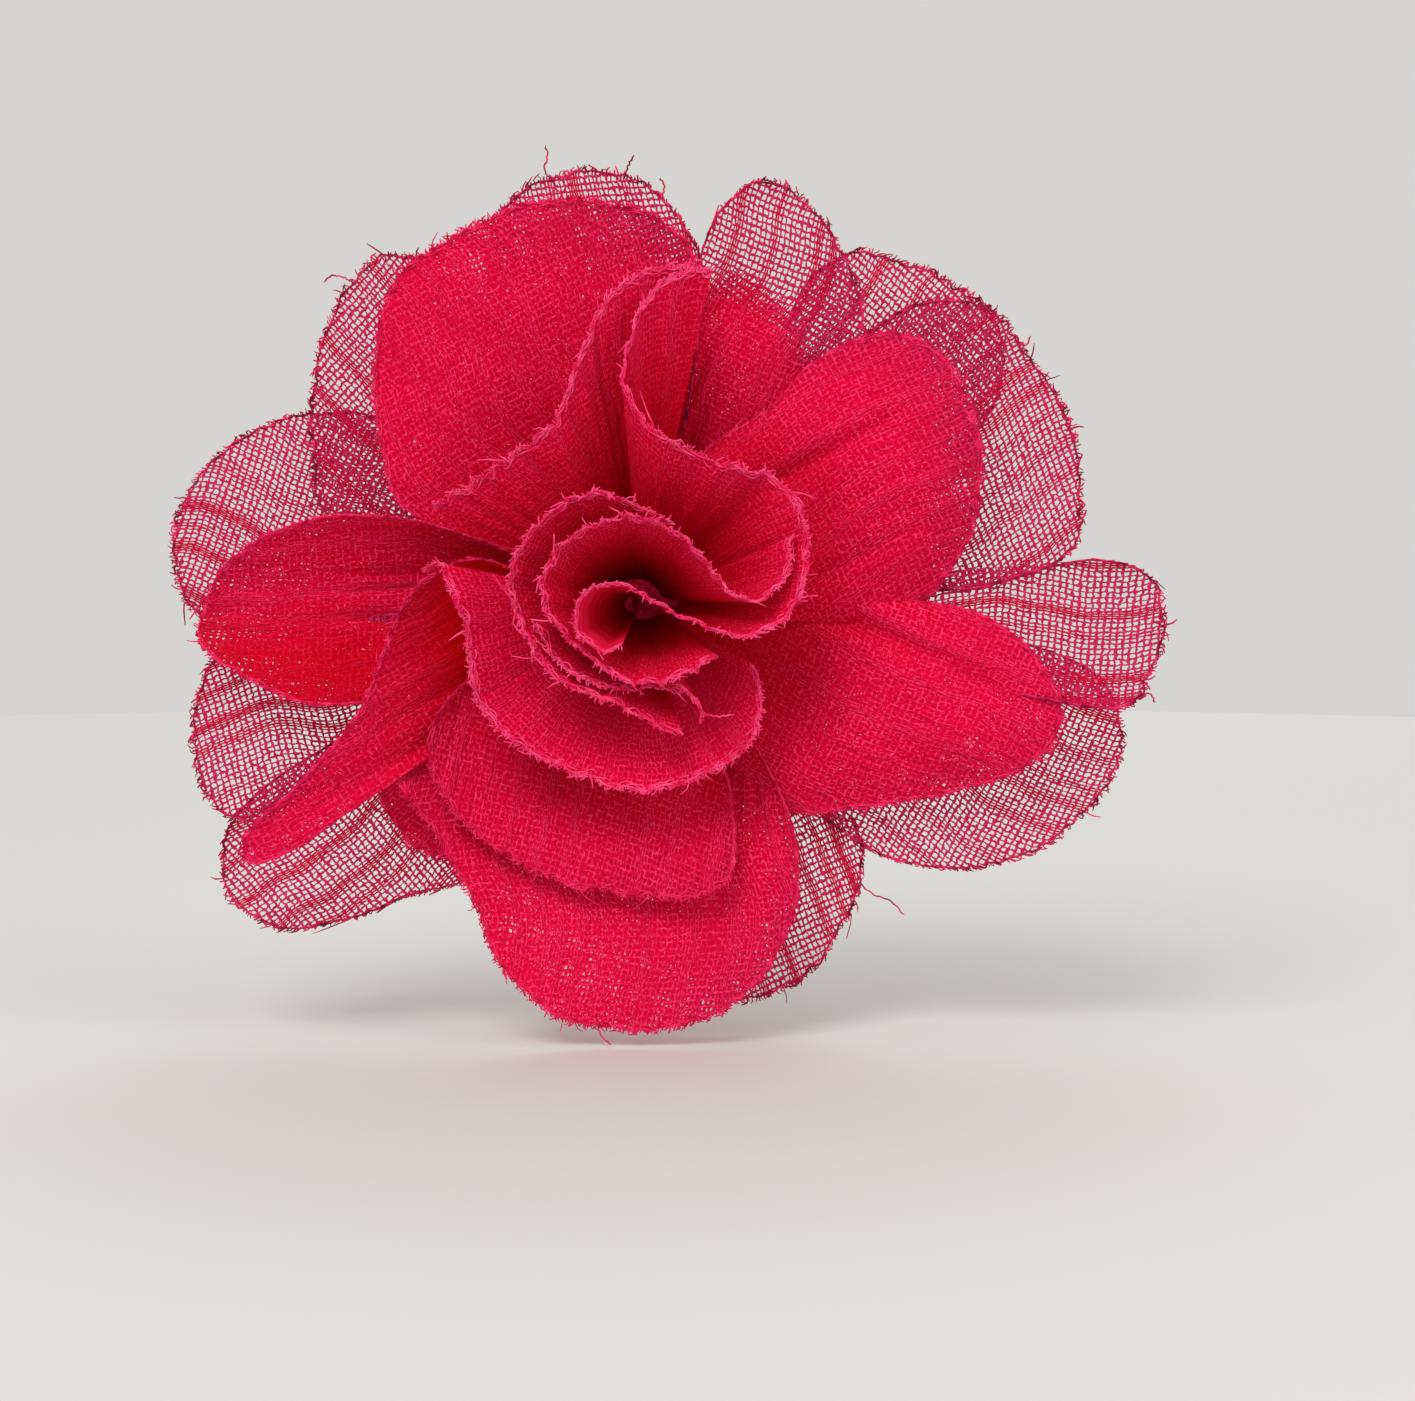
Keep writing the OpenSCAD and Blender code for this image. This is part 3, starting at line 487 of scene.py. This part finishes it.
def steel_material(name, colour, rough, grain):
    """Plated sheet steel: faint grain along X and smudges."""
    n = Nodes(name)
    where = n.tree.nodes.new("ShaderNodeTexCoord").outputs["Object"]
    mapping = n.add("ShaderNodeMapping", Vector=where)
    mapping.inputs["Scale"].default_value = (60, 1800, 1800)
    lines = n.noise(mapping.outputs[0], 1.0, 4.0)
    smudge = n.noise(where, 220, 4.0)
    tone = n.mix(n.ramp(smudge, 0.35, 0.75), colour, tuple(c * 0.86 for c in colour[:3]) + (1,))
    smudged = n.math("MULTIPLY_ADD", smudge, 0.22, rough - 0.08)
    roughness = n.math("ADD", smudged, n.math("MULTIPLY", lines, grain))
    bump = n.add("ShaderNodeBump", Strength=0.12, Distance=0.00004, Height=lines)
    metal = n.add("ShaderNodeBsdfPrincipled", Base_Color=tone, Roughness=roughness, Normal=bump.outputs[0])
    metal.inputs["Metallic"].default_value = 1.0
    n.link(metal.outputs[0], n.output.inputs["Surface"])
    return n.material


GAUZE = gauze("crinkled_gauze")
# Rim threads painted brighter and pinker than the cloth's thread: a painted highlight, strongest on the
# rose's rims, less on two-ply petals; on single-ply rims the dark end of the mottle is painted shade
FRAY_LIT = thread_material("frayed_thread", (1.0, 0.085, 0.25, 1), (0.84, 0.012, 0.10, 1))
FRAY_PETAL_LIT = thread_material("frayed_thread_petal", (0.92, 0.03, 0.14, 1), (0.60, 0.003, 0.05, 1))
FRAY_THIN = thread_material("frayed_thread_single", (0.82, 0.03, 0.13, 1), (0.20, 0.003, 0.03, 1))
SEWING = thread_material("sewing_thread", (0.55, 0.0, 0.03, 1), (0.28, 0.0, 0.015, 1))
FELT = felt_material()
PLATED = steel_material("plated_steel", (0.62, 0.62, 0.63, 1), 0.26, 0.06)
WIRE = steel_material("spring_wire", (0.40, 0.40, 0.42, 1), 0.34, 0.10)
NEEDLE = steel_material("needle_steel", (0.70, 0.70, 0.72, 1), 0.20, 0.05)


# ---------------------------------------------------------------- cloth
def fray_paths(rim, outward, along, seed, strands, every):
    """Curled thread ends on a raw edge, and the loose wavy threads that run along it.
    rim, outward and along are arrays of points and unit directions, in millimetres."""
    rng = np.random.default_rng(seed)
    steps = np.linalg.norm(np.diff(rim, axis=0), axis=1)
    length = np.concatenate([[0], np.cumsum(steps)])
    paths, radii = [], []

    def at(array, s):
        return np.stack([np.interp(s, length, array[:, k]) for k in range(3)], -1)

    starts = np.cumsum(every * rng.uniform(0.4, 1.6, int(length[-1] / every)))
    for s in starts[starts < length[-1]]:
        reach = rng.uniform(0.15, 0.55) * (2.6 if rng.random() < 0.03 else 1.0)
        lean, lift = rng.normal(0, 0.9), rng.normal(0, 0.6)
        base, out, side = at(rim, s), at(outward, s), at(along, s)
        up = np.cross(out, side)
        t = np.linspace(-0.5, 1, 5)[:, None]
        path = base + reach * (t * out + lean * t ** 2 * side + lift * t ** 2 * up)
        paths.append(path + rng.normal(0, 0.045, path.shape))
        radii.append(rng.uniform(0.055, 0.10))
    s = np.linspace(0, length[-1], max(8, int(length[-1] / 0.2)))
    up = np.cross(at(outward, s), at(along, s))
    for k in range(strands):
        inset = 0.04 + 0.22 * k
        line = at(rim, s) + at(outward, s) * (0.16 * wobble(s * 7.0, seed + 3 + 5 * k)[:, None] - inset)
        line += up * (0.13 * wobble(s * 6.0, seed + 4 + 5 * k)[:, None])
        paths.append(line)
        radii.append(0.105 - 0.015 * k)
    return paths, radii


def unit(a):
    return a / (np.linalg.norm(a, axis=-1, keepdims=True) + 1e-9)


def over_felt(p):
    """Points as (x, z, height over the felt) in millimetres, to the frame's metres."""
    return np.stack([p[..., 0], FELT_FRONT_Y - p[..., 2], p[..., 1]], -1) * MM


def finish_cloth(name, ply, painted_shade, grid, flat_x, flat_y, seed):
    """The sheet, its thread coordinates and its frayed rim. grid holds (x, z, height) in millimetres,
    its raw edge last."""
    u, dens = bunch(flat_x, flat_y, seed)
    v = flat_y / WEFT_PITCH + 0.35 * wobble2(flat_x * 0.4, flat_y * 0.25, seed + 2)
    ply = np.broadcast_to(ply, flat_x.shape)
    values = {"dens": dens, "ply": ply, "painted_shade": np.clip(np.broadcast_to(painted_shade, flat_x.shape), 0, 1)}
    obj = grid_mesh(name + "_cloth", over_felt(grid), np.stack([u, v], -1), values, GAUZE)
    rim = grid[:, -1]
    outward = unit(grid[:, -1] - grid[:, -3])
    along = unit(np.gradient(rim, axis=0))
    if name in ROSE:
        strands, every, thread = 3, 0.15, FRAY_LIT
    elif ply[:, -1].mean() > 0.5:
        strands, every, thread = 2, 0.2, FRAY_PETAL_LIT
    else:
        strands, every, thread = 1, 0.28, FRAY_THIN
    paths, radii = fray_paths(rim, outward, along, seed + 11, strands, every)
    for petal, share, moves in STRAYS:
        if petal == name:
            start = rim[int(share * (len(rim) - 1))]
            knots = np.vstack([start[None], start + np.cumsum(np.array(moves, float), axis=0)])
            path, _ = smooth_curve(knots, 16)
            paths.append(path + 0.06 * np.sin(np.arange(16)[:, None] * np.array([1.7, 2.1, 2.6])))
            radii.append(0.085)
    fray = tubes_mesh(name + "_fray", [over_felt(p) for p in paths], [r * MM for r in radii], thread)
    for piece in (obj, fray):
        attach(piece, BODY)
    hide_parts(name)
    return obj


def make_petal(name, index):
    azimuth, level, second_ply, cup, curl, ruffle, bulge, rim = PETALS[name]
    seed = 100 + 17 * index
    curve, _ = smooth_curve(rim, PETAL_GRID[0])
    across = np.linspace(-1, 1, PETAL_GRID[0])[:, None]
    out = np.linspace(0, 1, PETAL_GRID[1])[None, :]
    direction = math.radians(azimuth)
    (x0, z0), (x1, z1) = curve[0], curve[-1]
    way = 1 if x0 * z1 - z0 * x1 > 0 else -1
    root = direction + way * PETAL_ROOT_SPREAD * across
    notch = 0.32 * wobble(across * 14.0, seed) + 0.12 * wobble(across * 70.0, seed + 1)
    outward = unit(curve)
    tip = curve + outward * notch
    x = PETAL_ROOT_R * np.cos(root) * (1 - out) + tip[:, :1] * out
    z = PETAL_ROOT_R * np.sin(root) * (1 - out) + tip[:, 1:2] * out
    r = np.hypot(x, z)
    flat_x = z * math.cos(direction) - x * math.sin(direction)
    flat_y = x * math.cos(direction) + z * math.sin(direction)
    _, dens = bunch(flat_x, flat_y, seed)
    opening = np.clip((r - PETAL_ROOT_R) / 20, 0, 1)
    opening = opening * opening * (3 - 2 * opening)
    h = FIRST_GAP + (ROOT_LEVEL_H + (OPEN_LEVEL_H - ROOT_LEVEL_H) * opening) * level
    h = h + (FLAT_SLOPE * opening + LEVEL_SLOPE * level) * np.maximum(0, r - PETAL_ROOT_R)
    side = flat_x / np.abs(flat_x).max()
    h = h + cup * out ** 1.5 * side ** 2 + curl * out ** 4
    h = h + bulge * np.sin(np.pi * out ** 1.3) * (1 - side ** 2)
    h = h + ruffle * out ** 2 * wobble(across * 6.0 + out * 1.2, seed + 2)
    h = h + 0.45 * ruffle * (1 - 0.5 * out) * np.sqrt(out) * wobble(flat_x * 1.1 + out, seed + 12)
    h = h + 0.14 * out * (dens - 1) + 0.18 * out * wobble2(flat_x, flat_y, seed + 3, low=0.15, high=0.8)
    rng = np.random.default_rng(seed + 30)
    for crease in rng.uniform(-0.55, 0.55, 3):
        depth = rng.uniform(0.25, 0.8)
        h = h - depth * np.sin(np.pi * np.clip(out * 1.15, 0, 1)) * np.exp(-((side - crease) / 0.07) ** 2)
    if name == "petal_left_folded":
        h = h + 4.0 * out * np.clip(0.2 - across, 0, 1) - 3.0 * out * np.clip(across, 0, 1)
    grid = np.stack([x, z, h], -1)
    thin_rim = np.clip((out - 0.80) / 0.2, 0, 1) * (0.5 + 0.5 * wobble(across * 7.0, seed + 21))
    ply = (second_ply - 1) * np.clip(1 - 0.45 * thin_rim, 0, 1)
    if name == "petal_top_right":
        ply = np.clip((0.80 - out) / 0.12, 0, 1) * np.ones_like(flat_x)
    # Painted shade: petals painted darker near the rose, where its shade falls; the folded petal near the
    # collar and the lower half of petal_left are painted darker still, on their shaded faces
    painted_shade = 0.75 * np.clip((22 - r) / 14, 0, 1)
    if name == "petal_left_folded":
        painted_shade = painted_shade + 0.8 * np.clip((30 - r) / 14, 0, 1)
    if name == "petal_left":
        painted_shade = painted_shade + 0.75 * np.clip((1.5 - z) / 6, 0, 1) * np.clip((-x - 8) / 10, 0, 1)
    return finish_cloth(name, ply, painted_shade, grid, flat_x, flat_y, seed)


def make_wall(name, index):
    foot, rim = ROSE[name]
    seed = 700 + 23 * index
    curve, length = smooth_curve(rim, WALL_GRID[0])
    s = np.linspace(0, length, WALL_GRID[0])
    up = np.linspace(0, 1, WALL_GRID[1])[None, :]
    k = FOOT_K + (1 - FOOT_K) * (0.7 * up + 0.3 * up ** 3)
    x = curve[:, :1] * k
    z = curve[:, 1:2] * k
    foot = foot - FOOT_DROP
    h = foot + (curve[:, 2:3] * ROSE_H - foot) * up
    tangent = unit(np.gradient(curve[:, :2], axis=0))
    normal = np.stack([-tangent[:, 1], tangent[:, 0]], -1)
    fold = 0.35 * wobble(s * 0.9, seed)[:, None] * up + 0.12 * wobble(s * 4.0, seed + 1)[:, None] * up
    x, z = x + normal[:, :1] * fold, z + normal[:, 1:2] * fold
    h = h + 0.3 * up * wobble(s * 1.6, seed + 2)[:, None]
    grid = np.stack([x, z, h], -1)
    tall = np.linalg.norm(np.gradient(grid, axis=1), axis=-1).cumsum(axis=1)
    flat_x = np.repeat(s[:, None], up.shape[1], 1)
    # Painted shade: the wall painted darker towards its foot, down inside the rose
    painted_shade = FOOT_SHADE.get(name, 1.0) * (1 - up ** 2.2)
    return finish_cloth(name, 1.0, painted_shade, grid, flat_x, tall, seed)


for index, name in enumerate(PETALS):
    make_petal(name, index)
for index, name in enumerate(ROSE):
    make_wall(name, index)


# ---------------------------------------------------------------- felt rounds and sewing threads
FELT_R, FELT_T, STITCHES, BITE = 19.0, 1.2, 20, 1.6
THREAD_R, PLY_R, TWIST = 0.2, 0.11, 0.9
SEW_ANGLES, SEW_R, SEW_SPAN = (25, 160, 205, 250, 290, 335), 13.4, 3.6
THREAD_X = -0.3
FELT_MID_Y, PLATE_FRONT_Y = FELT_FRONT_Y + FELT_T, FELT_FRONT_Y + 2 * FELT_T
STITCH_TURNS = np.arange(STITCHES) * 2 * np.pi / STITCHES


def about_y(radius, angle, y):
    """Points at a radius and an angle about the Y axis, in millimetres, to the frame's metres."""
    radius, angle, y = np.broadcast_arrays(radius, angle, y)
    return np.stack([radius * np.cos(angle), y, radius * np.sin(angle)], -1) * MM


def pinch(angle):
    """1 under each whip stitch, falling to 0 beside it."""
    away = (np.asarray(angle)[..., None] - STITCH_TURNS + np.pi) % (2 * np.pi) - np.pi
    return np.exp(-(away * FELT_R / 0.55) ** 2).sum(axis=-1)


def make_felt(name, node, low_y, seed, rests_on):
    """A soft felt round with a worn edge, pulled in under each stitch, and fibres standing off it."""
    half = FELT_T / 2 - 0.03
    mid = low_y + FELT_T / 2
    face = np.linspace(0.4, FELT_R - half, 30)
    bend = np.linspace(-np.pi / 2, np.pi / 2, 11)[1:-1]
    radius = np.concatenate([face, FELT_R - half + half * np.cos(bend), face[::-1]])[None, :]
    depth = np.concatenate([-np.ones(30), np.sin(bend), np.ones(30)])[None, :]
    turn = np.linspace(0, 2 * np.pi, 260, endpoint=False)[:, None]
    edge = np.clip((radius - (FELT_R - BITE)) / BITE, 0, 1)
    tight = pinch(turn[:, 0])[:, None]
    x, z = radius * np.cos(turn), radius * np.sin(turn)
    worn = 0.10 * wobble2(x, z, seed, low=0.6, high=1.8) - 0.10
    r = radius + edge ** 2 * (worn - 0.28 * tight)
    dents = 0.03 + 0.03 * wobble2(x, z, seed + 5, low=0.5, high=2.5)
    y = mid + depth * (half * (1 - 0.22 * edge * tight) - dents)
    n, m = r.shape
    middles = [about_y(0, 0, mid - half), about_y(0, 0, mid + half)]
    verts = np.vstack([about_y(r, turn, y).reshape(-1, 3)] + middles)
    faces = []
    for i in range(n):
        j = (i + 1) % n
        faces += [(i * m + k, i * m + k + 1, j * m + k + 1, j * m + k) for k in range(m - 1)]
        faces += [(n * m, i * m, j * m), (n * m + 1, j * m + m - 1, i * m + m - 1)]
    mesh = bpy.data.meshes.new(name)
    mesh.from_pydata(verts.tolist(), [], faces)
    mesh.polygons.foreach_set("use_smooth", np.ones(len(faces), bool))
    mesh.materials.append(FELT)
    felt = bpy.data.objects.new(name, mesh)
    bpy.context.scene.collection.objects.link(felt)
    rng = np.random.default_rng(seed + 9)
    hairs = []
    for _ in range(520):
        angle, lift = rng.uniform(0, 2 * np.pi), rng.uniform(-0.8, 0.8)
        reach, drift = rng.uniform(0.15, 0.55), rng.normal(0, 0.02)
        t = np.linspace(0, 1, 5)
        hairs.append(about_y(FELT_R - 0.35 + reach * t, angle + drift * t ** 2,
                             mid + half * lift * (1 + 0.4 * t) + rng.normal(0, 0.03, 5)))
    fuzz = tubes_mesh(name + "_fuzz", hairs, [0.022 * MM] * len(hairs), FELT, sides=3)
    for piece in (felt, fuzz):
        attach(piece, BODY)
    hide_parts(node)
    return felt, fuzz, rests_on


def two_ply(path, phase):
    """The two plies of a twisted thread along a path in metres."""
    tangent = unit(np.gradient(path, axis=0) / MM)
    side = unit(np.cross(tangent, np.array([0.31, 0.47, 0.83])))
    other = np.cross(tangent, side)
    along = np.concatenate([[0], np.cumsum(np.linalg.norm(np.diff(path, axis=0), axis=1))]) / MM
    out = []
    for start in (0, np.pi):
        angle = (2 * np.pi * along / TWIST + phase + start)[:, None]
        out.append(path + (THREAD_R - PLY_R) * MM * (np.cos(angle) * side + np.sin(angle) * other))
    return out


def sewn(name, node, paths, seed):
    plies = []
    for i, path in enumerate(paths):
        plies += two_ply(path, seed + 1.7 * i)
    piece = tubes_mesh(name, plies, [PLY_R * MM] * len(plies), SEWING, sides=7)
    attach(piece, BODY)
    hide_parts(node)
    return piece


def whip_stitches():
    """Over the two felts' shared edge, sinking into the felt at both ends."""
    rng = np.random.default_rng(61)
    front, back = FELT_FRONT_Y - 0.8 * THREAD_R, PLATE_FRONT_Y + 0.8 * THREAD_R
    inner, outer = FELT_R - BITE, FELT_R + 0.5 * THREAD_R
    section, _ = smooth_curve([(inner, front + 0.7), (inner + 0.12, front + 0.12), (inner + 0.6, front),
                               (outer - 0.35, front + 0.02), (outer, front + 0.45), (outer, back - 0.45),
                               (outer - 0.35, back - 0.02), (inner + 0.6, back), (inner + 0.12, back - 0.12),
                               (inner, back - 0.7)], 64)
    lean = np.linspace(-1, 1, 64)
    return [about_y(section[:, 0], turn + rng.normal(0, 0.008) + (0.014 + rng.normal(0, 0.005)) * lean,
                    section[:, 1]) for turn in STITCH_TURNS]


def hole_stitches():
    """From each sewing hole over the plate's edge and down into the felt."""
    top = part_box("plate_stitches")[1][1] / MM - THREAD_R
    low = PLATE_FRONT_Y - 0.25
    far = SEW_R + SEW_SPAN
    section, _ = smooth_curve([(SEW_R, low), (SEW_R, top - 0.35), (SEW_R + 0.3, top),
                               (SEW_R + 1.8, top + 0.02), (far - 0.3, top),
                               (far, top - 0.35), (far, low)], 64)
    return [about_y(section[:, 0], math.radians(angle), section[:, 1]) for angle in SEW_ANGLES]


def heart_thread():
    """Up through the front felt and the petals' points, to a knot with two cut ends."""
    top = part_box("centre_thread")[0][1] / MM + 2 * THREAD_R
    y = np.linspace(FELT_MID_Y - 0.1, top, 60)
    rise = np.stack([THREAD_X + 0.05 * np.sin(y * 1.3), y, 0.05 * np.cos(y * 1.1)], -1) * MM
    t = np.linspace(0, 2 * np.pi, 120)
    ring = 0.26 + 0.15 * np.cos(3 * t)
    knot_x, knot_z = THREAD_X + ring * np.cos(2 * t), ring * np.sin(2 * t)
    knot = np.stack([knot_x, top + 0.17 * np.sin(3 * t), knot_z], -1) * MM
    reach = np.linspace(0.1, 1.1, 24)
    ends = [np.stack([THREAD_X + across * reach, top - 0.1 - 0.25 * reach, up * reach], -1) * MM
            for across, up in ((0.7, 0.5), (-0.5, 0.8))]
    return [rise, knot] + ends


back_felt = make_felt("felt_back_round", "felt_back", FELT_MID_Y, 41, ["base_plate"])
front_felt = make_felt("felt_front_round", "felt_front", FELT_FRONT_Y, 47, ["felt_back_round"])
edge_sewing = sewn("felt_whip_stitches", "felt_stitches", whip_stitches(), 0.4)
plate_sewing = sewn("plate_hole_stitches", "plate_stitches", hole_stitches(), 2.1)
heart_sewing = sewn("heart_thread", "centre_thread", heart_thread(), 1.2)


# ---------------------------------------------------------------- finding
def repaint(node, material):
    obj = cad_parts[node]
    obj.data.materials.clear()
    obj.data.materials.append(material)


for node in ("base_plate", "clip_fixed_jaw", "clip_moving_jaw", "clip_hinge_pin", "clip_rivets",
             "brooch_bar", "brooch_bar_rivets", "brooch_needle_rivet"):
    repaint(node, PLATED)
for node in ("brooch_needle", "brooch_catch_barrel"):
    repaint(node, NEEDLE)
repaint("clip_spring", WIRE)

# ---------------------------------------------------------------- stage, light and camera
floor_z = cad_low[2] - 0.002
bpy.ops.mesh.primitive_circle_add(vertices=160, radius=0.42, fill_type="NGON", location=(0, 0, floor_z))
floor = bpy.context.object
floor.name = "floor"
paint = Nodes("floor_paint")
matt = paint.add("ShaderNodeBsdfPrincipled", Base_Color=(0.64, 0.63, 0.615, 1), Roughness=0.9)
paint.link(matt.outputs[0], paint.output.inputs["Surface"])
floor.data.materials.append(paint.material)

world = bpy.data.worlds.new("studio")
bpy.context.scene.world = world
world.use_nodes = True
world.node_tree.nodes["Background"].inputs["Color"].default_value = (0.90, 0.89, 0.875, 1)
world.node_tree.nodes["Background"].inputs["Strength"].default_value = 0.74


def soft_light(name, where, size, power, target=(0, 0, 0)):
    data = bpy.data.lights.new(name, "AREA")
    data.shape, data.size, data.energy = "DISK", size, power
    lamp = bpy.data.objects.new(name, data)
    lamp.location = where
    lamp.rotation_mode = "QUATERNION"
    lamp.rotation_quaternion = (Vector(target) - Vector(where)).to_track_quat("-Z", "Y")
    bpy.context.scene.collection.objects.link(lamp)


soft_light("key", (-0.25, -0.75, 0.65), 0.5, 5.4)
soft_light("fill", (0.7, -0.5, 0.35), 0.5, 1.2)
soft_light("back", (0.1, 0.7, 0.5), 0.6, 1.6)

VIEW_WIDTH = 0.1302
VIEW_DISTANCE = 0.36
VIEW_ELEVATION = math.radians(4)
aim = Vector((0.0062, -0.012, -0.0088))
camera_data = bpy.data.cameras.new("camera")
camera_data.sensor_width = 36
camera_data.lens = 36 * VIEW_DISTANCE / VIEW_WIDTH
camera_data.clip_start, camera_data.clip_end = 0.01, 20
camera = bpy.data.objects.new("camera", camera_data)
toward = Vector((0, -math.cos(VIEW_ELEVATION), math.sin(VIEW_ELEVATION)))
camera.location = aim + toward * VIEW_DISTANCE
camera.rotation_mode = "QUATERNION"
camera.rotation_quaternion = (-toward).to_track_quat("-Z", "Y")
bpy.context.scene.collection.objects.link(camera)
bpy.context.scene.camera = camera

bpy.context.scene.view_settings.view_transform = "Standard"
